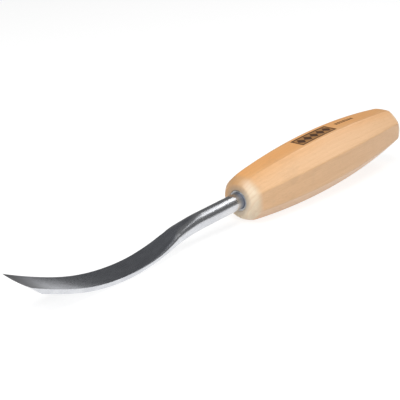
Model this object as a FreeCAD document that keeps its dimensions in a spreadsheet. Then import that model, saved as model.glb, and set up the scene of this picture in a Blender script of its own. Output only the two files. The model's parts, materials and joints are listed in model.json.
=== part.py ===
import FreeCAD, Part
import math
import os
import Sketcher

# A long-bent carving gouge: a forged steel blade with a round shank and a square tang,
# a steel ferrule, and an eight-sided barrel-shaped wooden handle.
#
# The pieces are drawn in the tool's own frame: X runs along the shank axis from the
# nose face of the handle (X = 0) to its butt (+X), the blade reaches towards -X, and
# +Z is the hollow side of the blade. At the end the whole tool is laid on a bench: it
# tips about Y until the belly of the blade and the lowest facet touch Z = 0.

PARTS_FOLDER = "parts"

# Every driving dimension in millimetres or degrees: alias, value, meaning.
SIZES = [
    ("handle_length", 127.0, "nose face to butt face"),
    ("handle_flats", 30.6, "across opposite facets at the fattest place"),
    ("facet_count", 8, "facets round the handle"),
    ("barrel_place", 63.5, "distance of the fattest place from the nose face"),
    ("barrel_radius", 443.0, "radius of each facet's lengthwise curve"),
    ("blank_radius", 17.2, "turned blank that the facets are milled from"),
    ("nose_flat_radius", 8.7, "flat ring round the ferrule"),
    ("nose_length", 6.6, "turned nose, from the flat ring to the last full arris"),
    ("nose_end_radius", 12.75, "turned nose at its back end"),
    ("nose_curve", 13.0, "radius of the turned nose's outline"),
    ("butt_length", 3.4, "turned rounding at the butt"),
    ("butt_start_radius", 12.4, "butt rounding where it leaves the arrises"),
    ("butt_flat_radius", 8.8, "flat disc of the butt face"),
    ("butt_curve", 4.0, "radius of the butt rounding's outline"),
    ("ferrule_radius", 5.4, "outside of the ferrule and its counterbore"),
    ("ferrule_bore", 4.3, "inside radius of the ferrule"),
    ("ferrule_length", 12.0, "ferrule and counterbore depth"),
    ("ferrule_lip", 0.35, "rounding of the ferrule's front rim"),
    ("tang_root", 6.0, "side of the square tang at the shoulder"),
    ("tang_point", 2.6, "side of the square tang at its point"),
    ("tang_length", 62.0, "shoulder to the tang's point"),
    ("shank_radius", 4.25, "round shank"),
    ("shank_straight", 26.0, "straight shank in front of the nose face"),
    ("neck_radius", 118.0, "centreline radius where the shank bends down"),
    ("neck_angle", 13.0, "how far the neck bends down"),
    ("belly_radius", 90.0, "centreline radius of the upward sweep"),
    ("belly_angle", 36.0, "how far the belly turns up"),
    ("tip_radius", 200.0, "centreline radius of the last stretch"),
    ("tip_angle", 6.9, "how far that stretch turns up, as far as the edge"),
    ("neck_half_width", 6.3, "half the blade's width where the belly begins"),
    ("edge_half_width", 10.0, "half the blade's width at the cutting edge"),
    ("flare_power", 1.3, "how late the blade widens"),
    ("side_bulge", 0.1, "outward crown of the side walls"),
    ("forging_top", 1.9, "top corner of the forging above its centreline"),
    ("forging_crown", 0.3, "crown of the forging's top"),
    ("wall_drop", 1.0, "bottom corner of the side wall below the centreline"),
    ("belly_crown", 0.7, "extra depth of the belly along the middle"),
    ("face_lift", 0.8, "middle of the hollow face above the centreline"),
    ("sweep_radius", 110.0, "hollow of the face across the blade"),
    ("runout_start", 0.34, "place on the belly where the run-out begins"),
    ("runout_hollow", 68.0, "radius of the first, hollow curve of the run-out"),
    ("runout_steepest", 22.6, "steepest slope of the run-out"),
    ("runout_crown", 32.0, "radius of the second, rounded curve of the run-out"),
    ("runout_end", 8.6, "slope of the run-out where it leaves the shank"),
    ("runout_past", 14.0, "straight stretch that carries the cut clear of the shank"),
    ("bevel_angle", 17.0, "bevel on the back, measured from the face"),
]

# Sections of the forged blade: which bend they lie on, how far along it, and how
# far the round shank has been drawn out flat there (0 round, 1 flat blade).
NECK = "neck"
BELLY = "belly"
TIP = "tip"
PAST_EDGE = 1.04       # the forging reaches this far along the tip's arc
SECTIONS = [
    (NECK, 0.0, 0.0),
    (NECK, 0.15, 0.0),
    (NECK, 0.3, 0.03),
    (NECK, 0.55, 0.26),
    (NECK, 0.8, 0.57),
    (BELLY, 0.02, 0.84),
    (BELLY, 0.16, 1.0),
    (BELLY, 0.4, 1.0),
    (BELLY, 0.7, 1.0),
    (TIP, 0.0, 1.0),
    (TIP, 0.5, 1.0),
    (TIP, PAST_EDGE, 1.0),
]

CLEAR = 1.0            # how far a cutting outline reaches past the wood or steel
CUT_TOP = 30.0         # outside radius of the lathe and milling cuts
HALF_CUT_WIDTH = 16.0  # half width of the cuts across the blade
CUT_DEPTH = 12.0       # depth of the cuts across the blade

doc = FreeCAD.newDocument("carving_gouge")


def make_sheet():
    """The sheet of driving dimensions, one named cell per row."""
    sheet = doc.addObject("Spreadsheet::Sheet", "Sizes")
    for row, (alias, value, meaning) in enumerate(SIZES, start=1):
        sheet.set(f"A{row}", meaning)
        sheet.set(f"B{row}", str(value))
        sheet.setAlias(f"B{row}", alias)
    doc.recompute()
    return sheet


sheet = make_sheet()


def size(alias):
    """A driving dimension as a number."""
    return float(sheet.get(alias))


def cell(alias):
    """A driving dimension as an expression."""
    return f"Sizes.{alias}"


def origin_item(body, role):
    """A plane or an axis of the body's own origin."""
    for item in body.Origin.OriginFeatures:
        if item.Role == role:
            return item
    raise ValueError(f"{body.Label} has no {role}")


def new_body(label):
    body = doc.addObject("PartDesign::Body", label)
    body.Label = label
    return body


def new_sketch(body, name, plane, along="0", up="0", tilt="0"):
    """A sketch on an origin plane. On the YZ plane it can be moved by expressions
    along X and up Z, and tilted about Y so that its face looks down by the angle."""
    sketch = body.newObject("Sketcher::SketchObject", name)
    sketch.AttachmentSupport = (origin_item(body, plane), [""])
    sketch.MapMode = "FlatFace"
    sketch.AttachmentOffset = FreeCAD.Placement(
        FreeCAD.Vector(0, 0, 0), FreeCAD.Rotation(FreeCAD.Vector(1, 0, 0), 1.0))
    sketch.setExpression("AttachmentOffset.Base.y", up)
    sketch.setExpression("AttachmentOffset.Base.z", along)
    sketch.setExpression("AttachmentOffset.Rotation.Angle", tilt)
    return sketch


def value_of(sketch, expression):
    """The present value of an expression of the sheet."""
    return float(sketch.evalExpression(expression))


def bind(sketch, constraint, expression):
    sketch.setExpression(f"Constraints[{constraint}]", expression)


def draw_circle(sketch, radius):
    """A circle about the sketch's origin."""
    circle = Part.Circle(FreeCAD.Vector(0, 0, 0), FreeCAD.Vector(0, 0, 1),
                         value_of(sketch, radius))
    edge = sketch.addGeometry(circle)
    sketch.addConstraint(Sketcher.Constraint("Coincident", edge, 3, -1, 1))
    bind(sketch, sketch.addConstraint(
        Sketcher.Constraint("Radius", edge, value_of(sketch, radius))), radius)


def arc_between(start, end, radius):
    """The short arc from start to end. A positive radius bulges to the right of the
    way from start to end, and a negative one to the left."""
    chord = end - start
    half = chord.Length / 2
    to_right = FreeCAD.Vector(chord.y, -chord.x, 0).normalize()
    reach = math.sqrt(radius * radius - half * half)
    centre = (start + end) / 2 - to_right * math.copysign(reach, radius)
    first, last = (start, end) if radius > 0 else (end, start)
    first_angle = math.atan2(first.y - centre.y, first.x - centre.x)
    last_angle = math.atan2(last.y - centre.y, last.x - centre.x)
    if last_angle < first_angle:
        last_angle += 2 * math.pi
    circle = Part.Circle(centre, FreeCAD.Vector(0, 0, 1), abs(radius))
    return Part.ArcOfCircle(circle, first_angle, last_angle)


def draw_chain(sketch, corners, radii, closed):
    """Sides through corners given as pairs of expressions. radii[i] is the expression
    of the arc that leaves corner i, positive for a bulge to the right of the way to
    the next corner and negative for one to the left; other sides are straight."""
    points = [FreeCAD.Vector(value_of(sketch, across), value_of(sketch, up), 0)
              for across, up in corners]
    count = len(points)
    sides = []
    for index in range(count if closed else count - 1):
        start, end = points[index], points[(index + 1) % count]
        if index in radii:
            radius = value_of(sketch, radii[index])
            edge = sketch.addGeometry(arc_between(start, end, radius))
            sides.append((edge, 1, 2) if radius > 0 else (edge, 2, 1))
            bind(sketch, sketch.addConstraint(
                Sketcher.Constraint("Radius", edge, abs(radius))), f"abs({radii[index]})")
        else:
            edge = sketch.addGeometry(Part.LineSegment(start, end))
            sides.append((edge, 1, 2))
    for index, (across, up) in enumerate(corners):
        last = index == len(sides)
        edge, start, finish = sides[index - 1 if last else index]
        place = finish if last else start
        if not last and (closed or index > 0):
            before, _, meeting = sides[index - 1]
            sketch.addConstraint(
                Sketcher.Constraint("Coincident", before, meeting, edge, start))
        point = points[index]
        bind(sketch, sketch.addConstraint(
            Sketcher.Constraint("DistanceX", -1, 1, edge, place, point.x)), across)
        bind(sketch, sketch.addConstraint(
            Sketcher.Constraint("DistanceY", -1, 1, edge, place, point.y)), up)


def draw_outline(sketch, corners, radii=None):
    """A closed outline, anticlockwise, so that a positive radius bulges outward."""
    draw_chain(sketch, corners, radii or {}, closed=True)


def draw_square(sketch, side):
    half = f"{side} / 2"
    draw_outline(sketch, [(f"-{half}", f"-{half}"), (half, f"-{half}"),
                          (half, half), (f"-{half}", half)])


def through(body, kind, name, sketch, length):
    """A pad or pocket that runs the same length to both sides of its sketch."""
    feature = body.newObject(f"PartDesign::{kind}", name)
    feature.Profile = sketch
    feature.SideType = "Symmetric"
    feature.setExpression("Length", length)
    doc.recompute()
    return feature


def one_way(body, kind, name, sketch, length, reverse):
    """A pad or pocket that runs to one side of its sketch."""
    feature = body.newObject(f"PartDesign::{kind}", name)
    feature.Profile = sketch
    feature.Reversed = reverse
    feature.setExpression("Length", length)
    doc.recompute()
    return feature


def turn(body, kind, name, sketch, axis):
    """A full revolution or groove about the sketch's own axis."""
    feature = body.newObject(f"PartDesign::{kind}", name)
    feature.Profile = sketch
    feature.ReferenceAxis = (sketch, [axis])
    feature.Angle = 360
    doc.recompute()
    return feature


def loft(body, kind, name, sketches):
    feature = body.newObject(f"PartDesign::{kind}", name)
    feature.Profile = sketches[0]
    feature.Sections = sketches[1:]
    feature.Ruled = False
    doc.recompute()
    return feature


# ---------------------------------------------------------------- handle

def facet_height(along):
    """Height of a facet's lengthwise arc above the handle's axis at a place."""
    return (f"{cell('handle_flats')} / 2 - {cell('barrel_radius')} + "
            f"sqrt({cell('barrel_radius')}^2 - ({along} - {cell('barrel_place')})^2)")


def mill_facets(body):
    """One barrel-curved facet is milled from the round blank and repeated round it."""
    start = f"-{CLEAR}"
    finish = f"{cell('handle_length')} + {CLEAR}"
    sketch = new_sketch(body, "facet_cut", "XZ_Plane")
    draw_outline(sketch,
                 [(start, facet_height(start)), (finish, facet_height(finish)),
                  (finish, str(CUT_TOP)), (start, str(CUT_TOP))],
                 {0: f"-{cell('barrel_radius')}"})
    pocket = through(body, "Pocket", "facet", sketch, f"4 * {cell('blank_radius')}")
    pattern = body.newObject("PartDesign::PolarPattern", "facets")
    pattern.Originals = [pocket]
    pattern.Axis = (origin_item(body, "X_Axis"), [""])
    pattern.Angle = 360
    pattern.setExpression("Occurrences", cell("facet_count"))
    body.Tip = pattern
    doc.recompute()


def turn_nose(body):
    """The lathe rounds the nose from the flat ring out to the arrises."""
    flat, back = cell("nose_flat_radius"), cell("nose_length")
    sketch = new_sketch(body, "nose_cut", "XZ_Plane")
    draw_outline(sketch,
                 [(f"-{CLEAR}", flat), ("0", flat), (back, cell("nose_end_radius")),
                  (back, str(CUT_TOP)), (f"-{CLEAR}", str(CUT_TOP))],
                 {1: f"-{cell('nose_curve')}"})
    turn(body, "Groove", "nose", sketch, "H_Axis")


def turn_butt(body):
    """The lathe rounds the butt from the arrises in to its flat disc."""
    flat, end = cell("butt_flat_radius"), cell("handle_length")
    start = f"{end} - {cell('butt_length')}"
    sketch = new_sketch(body, "butt_cut", "XZ_Plane")
    draw_outline(sketch,
                 [(start, cell("butt_start_radius")), (end, flat),
                  (f"{end} + {CLEAR}", flat), (f"{end} + {CLEAR}", str(CUT_TOP)),
                  (start, str(CUT_TOP))],
                 {0: f"-{cell('butt_curve')}"})
    turn(body, "Groove", "butt", sketch, "H_Axis")


def bore_handle(body):
    """A round counterbore holds the ferrule, and a tapered square hole the tang."""
    mouth = new_sketch(body, "counterbore_outline", "YZ_Plane")
    draw_circle(mouth, cell("ferrule_radius"))
    one_way(body, "Pocket", "counterbore", mouth, cell("ferrule_length"), True)
    loft(body, "SubtractiveLoft", "tang_hole", tang_sketches(body, "hole"))


def make_handle():
    body = new_body("handle")
    blank = new_sketch(body, "blank_outline", "YZ_Plane")
    draw_circle(blank, cell("blank_radius"))
    one_way(body, "Pad", "blank", blank, cell("handle_length"), False)
    mill_facets(body)
    turn_nose(body)
    turn_butt(body)
    bore_handle(body)
    return body


# ---------------------------------------------------------------- ferrule

def make_ferrule():
    """A short tube with a rounded front rim, sunk flush in the handle's nose."""
    body = new_body("ferrule")
    inside, outside = cell("ferrule_bore"), cell("ferrule_radius")
    length, lip = cell("ferrule_length"), cell("ferrule_lip")
    sketch = new_sketch(body, "tube_wall", "XZ_Plane")
    draw_outline(sketch,
                 [(lip, inside), (length, inside), (length, outside), (lip, outside),
                  ("0", f"{outside} - {lip}"), ("0", f"{inside} + {lip}")],
                 {3: lip, 5: lip})
    turn(body, "Revolution", "tube", sketch, "H_Axis")
    return body


# ---------------------------------------------------------------- blade

def tang_sketches(body, name):
    """The tang's square sections, at the shoulder and at its point."""
    root = new_sketch(body, f"{name}_root", "YZ_Plane", along=cell("ferrule_length"))
    draw_square(root, cell("tang_root"))
    point = new_sketch(body, f"{name}_point", "YZ_Plane",
                       along=f"{cell('ferrule_length')} + {cell('tang_length')}")
    draw_square(point, cell("tang_point"))
    return [root, point]


def centreline(bend, fraction, lift="0"):
    """Expressions for a place on the blade's centreline, or lifted square to it: X, Z
    and the angle by which the centreline heads down there. The neck arc curves down
    from the straight shank, then the belly arc and the flatter tip arc curve up."""
    neck, turn_down = cell("neck_radius"), cell("neck_angle")
    belly, turn_up = cell("belly_radius"), cell("belly_angle")
    along = f"-{cell('shank_straight')}"
    if bend == NECK:
        tilt = f"({fraction} * {turn_down})"
        along += f" - {neck} * sin({tilt})"
        up = f"-{neck} * (1 - cos({tilt}))"
    else:
        along += f" - {neck} * sin({turn_down})"
        up = f"-{neck} * (1 - cos({turn_down}))"
        belly_share = fraction if bend == BELLY else "1"
        tilt = f"({turn_down} - {belly_share} * {turn_up})"
        along += f" - {belly} * (sin({turn_down}) - sin({tilt}))"
        up += f" + {belly} * (cos({turn_down}) - cos({tilt}))"
    if bend == TIP:
        before = tilt
        tilt = f"({before} - {fraction} * {cell('tip_angle')})"
        along += f" - {cell('tip_radius')} * (sin({before}) - sin({tilt}))"
        up += f" + {cell('tip_radius')} * (cos({before}) - cos({tilt}))"
    return f"{along} - {lift} * sin({tilt})", f"{up} + {lift} * cos({tilt})", tilt


def share_of_blade(bend, fraction):
    """How far a place lies from the neck's end (0) to the edge (1), by length."""
    belly = f"({cell('belly_radius')} * {cell('belly_angle')})"
    tip = f"({cell('tip_radius')} * {cell('tip_angle')})"
    if bend == NECK:
        return "0"
    if bend == BELLY:
        return f"({fraction} * {belly} / ({belly} + {tip}))"
    return f"(({belly} + {fraction} * {tip}) / ({belly} + {tip}))"


def arc_radius(chord, rise):
    """Radius of the arc that rises by so much over a chord."""
    return f"(({chord})^2 + 4 * ({rise})^2) / (8 * ({rise}))"


def draw_section(sketch, share, flat):
    """One section of the forging: four arcs that make a circle while flat is 0, and a
    flat blade with upright walls and a crowned belly when flat is 1."""
    def mixed(round_part, flat_part):
        return f"({1 - flat} * {cell('shank_radius')} * {round_part} + {flat} * {flat_part})"

    wide = (f"({cell('neck_half_width')} + ({cell('edge_half_width')} - "
            f"{cell('neck_half_width')}) * {share}^{cell('flare_power')})")
    corner, rise = "sqrt(0.5)", "(1 - sqrt(0.5))"
    side_rise = mixed(rise, cell("side_bulge"))
    half = f"({mixed('1', wide)} - {side_rise})"
    top = mixed(corner, cell("forging_top"))
    bottom = mixed(corner, cell("wall_drop"))
    side = arc_radius(f"{top} + {bottom}", side_rise)
    draw_outline(sketch,
                 [(f"-{half}", f"-{bottom}"), (half, f"-{bottom}"), (half, top),
                  (f"-{half}", top)],
                 {0: arc_radius(f"2 * {half}", mixed(rise, cell("belly_crown"))),
                  1: side,
                  2: arc_radius(f"2 * {half}", mixed(rise, cell("forging_crown"))),
                  3: side})


def forge_blade(body):
    """The forging is lofted through sections square to its centreline."""
    sketches = []
    for number, (bend, fraction, flat) in enumerate(SECTIONS, start=1):
        along, up, tilt = centreline(bend, fraction)
        sketch = new_sketch(body, f"section_{number}", "YZ_Plane", along, up, f"-{tilt}")
        draw_section(sketch, share_of_blade(bend, fraction), flat)
        sketches.append(sketch)
    loft(body, "AdditiveLoft", "forging", sketches)


def runout_curve(start, radius, first_slope, last_slope):
    """The far end of an arc that climbs towards the handle from a start place, as its
    slope turns from the first to the last."""
    along = f"{start[0]} + {radius} * (sin({last_slope}) - sin({first_slope}))"
    up = f"{start[1]} + {radius} * (cos({first_slope}) - cos({last_slope}))"
    return along, up


def face_path():
    """The middle line of the hollow face, from beyond the edge back to the neck, and
    the radii of its arcs. It keeps its lift above the centreline as far as the
    run-out, which climbs along a hollow arc, a rounded arc and a straight."""
    lift = cell("face_lift")
    steepest, last = cell("runout_steepest"), cell("runout_end")
    past_edge = centreline(TIP, PAST_EDGE, lift)[:2]
    tip_start = centreline(TIP, "0", lift)[:2]
    along, up, slope = centreline(BELLY, cell("runout_start"), lift)
    inflection = runout_curve((along, up), cell("runout_hollow"), slope, steepest)
    crest = runout_curve(inflection, f"-{cell('runout_crown')}", steepest, last)
    clear = (f"{crest[0]} + {cell('runout_past')} * cos({last})",
             f"{crest[1]} + {cell('runout_past')} * sin({last})")
    radii = {0: f"{cell('tip_radius')} - {lift}",
             1: f"{cell('belly_radius')} - {lift}",
             2: cell("runout_hollow"),
             3: f"-{cell('runout_crown')}"}
    return [past_edge, tip_start, (along, up), inflection, crest, clear], radii


def hollow_face(body):
    """A cutter with a slightly crowned rim hollows the face along its middle line."""
    path = new_sketch(body, "face_line", "XZ_Plane")
    corners, radii = face_path()
    draw_chain(path, corners, radii, closed=False)
    along, up, tilt = centreline(TIP, PAST_EDGE, cell("face_lift"))
    outline = new_sketch(body, "cutter_outline", "YZ_Plane", along, up, f"-{tilt}")
    draw_outline(outline,
                 [(f"-{HALF_CUT_WIDTH}", cut_rim()), (str(HALF_CUT_WIDTH), cut_rim()),
                  (str(HALF_CUT_WIDTH), str(CUT_DEPTH)),
                  (f"-{HALF_CUT_WIDTH}", str(CUT_DEPTH))],
                 {0: cell("sweep_radius")})
    pipe = body.newObject("PartDesign::SubtractivePipe", "hollow")
    pipe.Profile = outline
    pipe.Spine = (path, [])
    pipe.Mode = "Binormal"
    pipe.Binormal = FreeCAD.Vector(0, 1, 0)
    doc.recompute()


def cut_rim():
    """Height of the cutters' sweep at the ends of their outlines."""
    crown = cell("sweep_radius")
    return f"{crown} - sqrt({crown}^2 - {HALF_CUT_WIDTH}^2)"


def grind_bevel(body):
    """The back is ground to the edge along a hollow of the face's own sweep."""
    along, up, tilt = centreline(TIP, "1", cell("face_lift"))
    sketch = new_sketch(body, "bevel_outline", "YZ_Plane", along, up,
                        f"{cell('bevel_angle')} - {tilt}")
    draw_outline(sketch,
                 [(f"-{HALF_CUT_WIDTH}", f"-{CUT_DEPTH}"),
                  (str(HALF_CUT_WIDTH), f"-{CUT_DEPTH}"),
                  (str(HALF_CUT_WIDTH), cut_rim()), (f"-{HALF_CUT_WIDTH}", cut_rim())],
                 {2: f"-{cell('sweep_radius')}"})
    through(body, "Pocket", "bevel", sketch, f"4 * {CUT_DEPTH}")


def make_blade():
    """Tang, shoulder, round shank and hollowed blade in one piece of steel."""
    body = new_body("blade")
    shoulder = new_sketch(body, "shank_outline", "YZ_Plane", along=cell("ferrule_length"))
    draw_circle(shoulder, cell("shank_radius"))
    one_way(body, "Pad", "shank", shoulder,
            f"{cell('ferrule_length')} + {cell('shank_straight')}", True)
    loft(body, "AdditiveLoft", "tang", tang_sketches(body, "tang"))
    forge_blade(body)
    hollow_face(body)
    grind_bevel(body)
    return body


# ---------------------------------------------------------------- whole tool

def bench_tilt():
    """Angle, in degrees, by which the butt is raised when the tool lies on a bench.

    The belly's lowest line and the lowest facet are both arcs seen from the side, so
    the bench is their common tangent. A tangent's normal leans from the line of the
    centres by the angle whose cosine is the radius difference over their distance."""
    neck = math.radians(size("neck_angle"))
    radii = size("neck_radius") + size("belly_radius")
    turn_centre_x = -size("shank_straight") - radii * math.sin(neck)
    turn_centre_z = -size("neck_radius") + radii * math.cos(neck)
    belly_radius = size("belly_radius") + size("wall_drop") + size("belly_crown")
    run = size("barrel_place") - turn_centre_x
    rise = size("barrel_radius") - size("handle_flats") / 2 - turn_centre_z
    lean = math.atan2(run, rise)
    spread = math.acos((size("barrel_radius") - belly_radius) / math.hypot(run, rise))
    return math.degrees(lean - spread)


def lay_on_bench(bodies):
    """Tip the tool onto the bench, with the origin at the middle of its footprint."""
    turned = FreeCAD.Rotation(FreeCAD.Vector(0, 1, 0), -bench_tilt())
    for body in bodies:
        body.Placement = FreeCAD.Placement(FreeCAD.Vector(0, 0, 0), turned)
    doc.recompute()
    box = Part.makeCompound([body.Shape for body in bodies]).optimalBoundingBox(False)
    shift = FreeCAD.Vector(-box.Center.x, -box.Center.y, -box.ZMin)
    for body in bodies:
        body.Placement = FreeCAD.Placement(shift, turned)
    doc.recompute()


def check_document(bodies):
    """Stop if any feature failed or any piece isn't one sound solid."""
    for item in doc.Objects:
        if "Invalid" in item.State or "Error" in item.State:
            raise RuntimeError(f"{item.Label} failed: {item.State}")
    for body in bodies:
        shape = body.Shape
        if shape.isNull() or not shape.isValid() or len(shape.Solids) != 1:
            raise RuntimeError(f"{body.Label} isn't one sound solid")


def report(bodies):
    """Print each piece's volume and box, and the places of the two mounting faces."""
    for body in bodies:
        box = body.Shape.optimalBoundingBox(False)
        print(f"{body.Label}: {body.Shape.Volume:.1f} mm3, "
              f"X {box.XMin:.2f} to {box.XMax:.2f}, "
              f"Y {box.YMin:.2f} to {box.YMax:.2f}, Z {box.ZMin:.2f} to {box.ZMax:.2f}")
    place = bodies[0].Placement
    ring = (size("nose_flat_radius") + size("ferrule_radius")) / 2
    print("bench tilt", round(bench_tilt(), 3))
    print("nose ring", place.multVec(FreeCAD.Vector(0, 0, ring)))
    print("butt disc", place.multVec(FreeCAD.Vector(size("handle_length"), 0, 0)))
    print("butt normal", place.Rotation.multVec(FreeCAD.Vector(1, 0, 0)))


def write_parts(bodies):
    os.makedirs(PARTS_FOLDER, exist_ok=True)
    for body in bodies:
        body.Shape.exportStep(os.path.join(PARTS_FOLDER, f"{body.Label}.step"))


pieces = [make_blade(), make_ferrule(), make_handle()]
lay_on_bench(pieces)
check_document(pieces)
report(pieces)
write_parts(pieces)
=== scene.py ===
import json
import math
import bpy
from mathutils import Matrix, Vector


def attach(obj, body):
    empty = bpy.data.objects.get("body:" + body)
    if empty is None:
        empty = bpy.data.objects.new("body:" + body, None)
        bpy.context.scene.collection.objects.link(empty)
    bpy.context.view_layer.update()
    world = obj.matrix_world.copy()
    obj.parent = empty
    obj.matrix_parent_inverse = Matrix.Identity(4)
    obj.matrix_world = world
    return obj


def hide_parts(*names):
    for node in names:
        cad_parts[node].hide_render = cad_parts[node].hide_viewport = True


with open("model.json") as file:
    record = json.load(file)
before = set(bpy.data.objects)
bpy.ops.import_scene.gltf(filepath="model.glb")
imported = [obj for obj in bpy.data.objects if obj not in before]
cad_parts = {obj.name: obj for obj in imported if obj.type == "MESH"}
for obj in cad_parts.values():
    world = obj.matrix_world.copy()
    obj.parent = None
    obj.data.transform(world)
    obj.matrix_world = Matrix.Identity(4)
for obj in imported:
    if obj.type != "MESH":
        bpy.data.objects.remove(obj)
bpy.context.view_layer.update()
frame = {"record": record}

# A long-bent carving gouge lying on a pale floor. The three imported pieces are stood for
# by finer meshes of the same sizes: the blade, the ferrule and the handle.
#
# The pieces are made in millimetres in the tool's own frame: X runs along the shank from
# the nose face of the handle (X = 0) to its butt, the blade reaches towards -X, and +Z is
# the hollow side of the blade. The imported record's mounts say where that frame lies.

MM = 0.001


# ---------------------------------------------------------------- sizes, in mm and degrees

HANDLE_LENGTH = 127.0
HALF_FLATS = 15.3          # from the handle's axis to a facet at the fattest place
BARREL_PLACE = 63.5        # distance of the fattest place from the nose face
BARREL_RADIUS = 443.0      # lengthwise curve of each facet
FACETS = 8
ARRIS_ROUNDING = 1.1       # rounding of the edges between facets
NOSE_FLAT = 8.7            # radius of the flat ring round the ferrule
NOSE_LENGTH = 6.6
NOSE_END = 12.75           # radius where the nose meets the facets
NOSE_CURVE = 13.0          # lengthwise curve of the nose
NOSE_LIP = 0.3             # rounding of the nose face's outer edge
BUTT_LENGTH = 3.4
BUTT_START = 12.4          # radius where the facets meet the butt
BUTT_FLAT = 8.8            # radius of the flat disc in the middle
BUTT_CURVE = 4.0           # lengthwise curve of the butt
TURNED_BLEND = 0.6         # softening where the lathe work meets the facets

FERRULE_OUTSIDE = 5.4
FERRULE_BORE = 4.3
FERRULE_LENGTH = 12.0
FERRULE_LIP = 0.3          # rounding of the front rim
MOUTH_DEPTH, MOUTH_WIDTH = 0.2, 0.15   # broken edge of the counterbore for the ferrule

TANG_ROOT = 6.0            # side of the tang's square at the shoulder
TANG_POINT = 2.6           # and at its end
TANG_LENGTH = 62.0
TANG_ROUNDING = 0.3
SHANK_RADIUS = 4.25
SHANK_STRAIGHT = 26.0
NECK_RADIUS, NECK_ANGLE = 118.0, 13.0          # the bend down after the shank,
BELLY_RADIUS, BELLY_ANGLE = 90.0, 36.0         # the long bend up
TIP_RADIUS, TIP_ANGLE = 200.0, 6.9             # and the flatter stretch to the edge
NECK_HALF_WIDTH = 6.3
EDGE_HALF_WIDTH = 10.0
FLARE_POWER = 1.3          # how late the blade widens between them
SIDE_BULGE = 0.1           # of the upright walls
FORGING_TOP, FORGING_CROWN = 1.9, 0.3          # top corners and the crown above them
WALL_DROP, BELLY_CROWN = 1.0, 0.7              # lower corners and the belly below them
FACE_LIFT = 0.8            # the hollow face's middle over the centreline
SWEEP_RADIUS = 110.0       # hollow across the face
RUNOUT_START = 0.34        # where the face leaves the long bend, as a share of it
RUNOUT_HOLLOW, RUNOUT_CROWN = 68.0, 32.0       # its two arcs on the way out
RUNOUT_STEEPEST, RUNOUT_END = 22.6, 8.6        # its slopes between and after them
RUNOUT_PAST = 14.0         # its straight end, drawn on past the top of the shank
BEVEL_ANGLE = 17.0
BEVEL_DRAWN = 30.0         # how far back the bevel's line is drawn
EDGE_THICKNESS = 0.03
PAST_EDGE = 2.0            # how far the faces' lines are drawn beyond the edge

NECK_LENGTH = NECK_RADIUS * math.radians(NECK_ANGLE)
BELLY_LENGTH = BELLY_RADIUS * math.radians(BELLY_ANGLE)
TIP_LENGTH = TIP_RADIUS * math.radians(TIP_ANGLE)
BLADE_LENGTH = NECK_LENGTH + BELLY_LENGTH + TIP_LENGTH

FAR = 50.0                 # higher or lower than anything on the blade


def tool_frame():
    """The tool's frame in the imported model's, read from the mount at the butt."""
    butt = next(m for m in frame["record"]["mounts"] if m["name"] == "butt_end")
    along = Vector(butt["axis"]).normalized()
    across = Vector((0, 1, 0))
    upward = along.cross(across)
    origin = Vector(butt["pos_m"]) - along * HANDLE_LENGTH * MM
    turn = Matrix((along, across, upward)).transposed().to_4x4()
    return Matrix.Translation(origin) @ turn


TOOL_FRAME = tool_frame()


# ---------------------------------------------------------------- mesh helpers

def blend(low, high, share):
    return low + (high - low) * share


def smooth_step(value, start, finish):
    share = min(1.0, max(0.0, (value - start) / (finish - start)))
    return share * share * (3 - 2 * share)


def soft_min(a, b, reach):
    """The lower of two values, with the corner between them rounded off."""
    near = max(0.0, 1 - abs(a - b) / reach)
    return min(a, b) - near * near * reach / 4


def arc_height(distance, start, finish, radius):
    """Height of an arc that bulges upward through two points, at a distance along."""
    (x0, y0), (x1, y1) = start, finish
    half = math.hypot(x1 - x0, y1 - y0) / 2
    back = math.sqrt(radius * radius - half * half)
    run, rise = (x1 - x0) / (2 * half), (y1 - y0) / (2 * half)
    cx = (x0 + x1) / 2 + rise * back
    cy = (y0 + y1) / 2 - run * back
    return cy + math.sqrt(max(0.0, radius * radius - (distance - cx) ** 2))


def spread(start, finish, count):
    """Evenly spaced numbers, both ends included."""
    return [blend(start, finish, i / (count - 1)) for i in range(count)]


def add_piece(name, points, faces, material, marks=None):
    """A smooth mesh piece, given in the tool's frame, riding on the only body."""
    mesh = bpy.data.meshes.new(name)
    mesh.from_pydata([TOOL_FRAME @ (Vector(p) * MM) for p in points], [], faces)
    mesh.validate()
    mesh.polygons.foreach_set("use_smooth", [True] * len(mesh.polygons))
    for label, values in (marks or {}).items():
        attribute = mesh.attributes.new(label, "FLOAT", "POINT")
        attribute.data.foreach_set("value", values)
    mesh.materials.append(material)
    piece = bpy.data.objects.new(name, mesh)
    bpy.context.scene.collection.objects.link(piece)
    shading = piece.modifiers.new("even_shading", "WEIGHTED_NORMAL")
    shading.weight = 60
    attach(piece, "root")
    return piece


def tube_faces(ring_count, ring_size, closed=False):
    """Quads between rings of equally many points, each ring listed in turn."""
    faces = []
    for ring in range(ring_count if closed else ring_count - 1):
        here = ring * ring_size
        there = (ring + 1) % ring_count * ring_size
        for i in range(ring_size):
            j = (i + 1) % ring_size
            faces.append((here + i, here + j, there + j, there + i))
    return faces


# ---------------------------------------------------------------- handle

def facet_height(along):
    """Distance from the handle's axis to the middle of a facet."""
    sagitta = math.sqrt(BARREL_RADIUS ** 2 - (along - BARREL_PLACE) ** 2)
    return HALF_FLATS - BARREL_RADIUS + sagitta


def turned_radius(along):
    """The lathe's outline: the rounded nose, no limit in the middle, the rounded butt."""
    if along < NOSE_LENGTH:
        return arc_height(along, (0, NOSE_FLAT), (NOSE_LENGTH, NOSE_END), NOSE_CURVE)
    butt = HANDLE_LENGTH - BUTT_LENGTH
    if along > butt:
        return arc_height(along, (butt, BUTT_START), (HANDLE_LENGTH, BUTT_FLAT), BUTT_CURVE)
    return 2 * HALF_FLATS


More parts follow.
